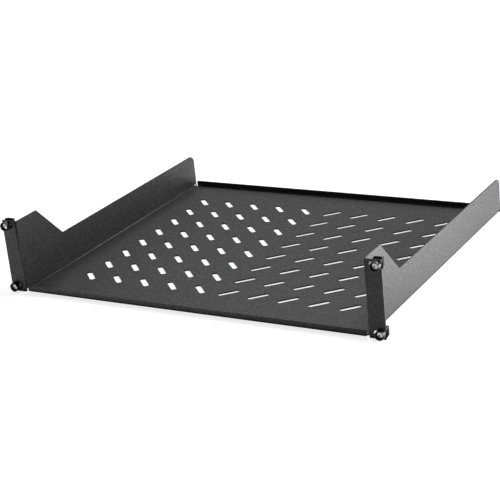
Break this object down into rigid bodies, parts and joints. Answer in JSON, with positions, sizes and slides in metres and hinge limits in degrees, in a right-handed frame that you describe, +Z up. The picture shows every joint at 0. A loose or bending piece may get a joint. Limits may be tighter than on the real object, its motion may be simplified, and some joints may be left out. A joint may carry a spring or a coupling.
{
  "type": "cantilever rack shelf",
  "caption": "Two-unit cantilever shelf for a 19-inch rack: a slotted deck with folded side walls, front ears, low lips and cage-nut fixings.",
  "frame": {"origin": "midway between the ears, on the plane of their rear faces, level with the underside of the deck", "axes": "+X to the right as seen from the front of the rack, +Y back into the rack, +Z up"},
  "size_m": [0.4826, 0.3956, 0.0891],
  "materials": {
    "black_powder_coat": "fine-textured matt powder coat",
    "bright_zinc": "bright zinc plate",
    "black_plastic": "satin moulded nylon",
    "black_spring_steel": "black oxide on spring steel",
    "nut_zinc": "zinc plate"
  },
  "bodies": {
    "root": {"shelf_body": "black_powder_coat", "screw_bottom_left": "bright_zinc", "screw_bottom_right": "bright_zinc", "screw_top_left": "bright_zinc", "screw_top_right": "bright_zinc", "cup_washer_bottom_left": "black_plastic", "cup_washer_bottom_right": "black_plastic", "cup_washer_top_left": "black_plastic", "cup_washer_top_right": "black_plastic", "cage_bottom_left": "black_spring_steel", "cage_bottom_right": "black_spring_steel", "cage_top_left": "black_spring_steel", "cage_top_right": "black_spring_steel", "square_nut_bottom_left": "nut_zinc", "square_nut_bottom_right": "nut_zinc", "square_nut_top_left": "nut_zinc", "square_nut_top_right": "nut_zinc"}
  },
  "joints": []
}
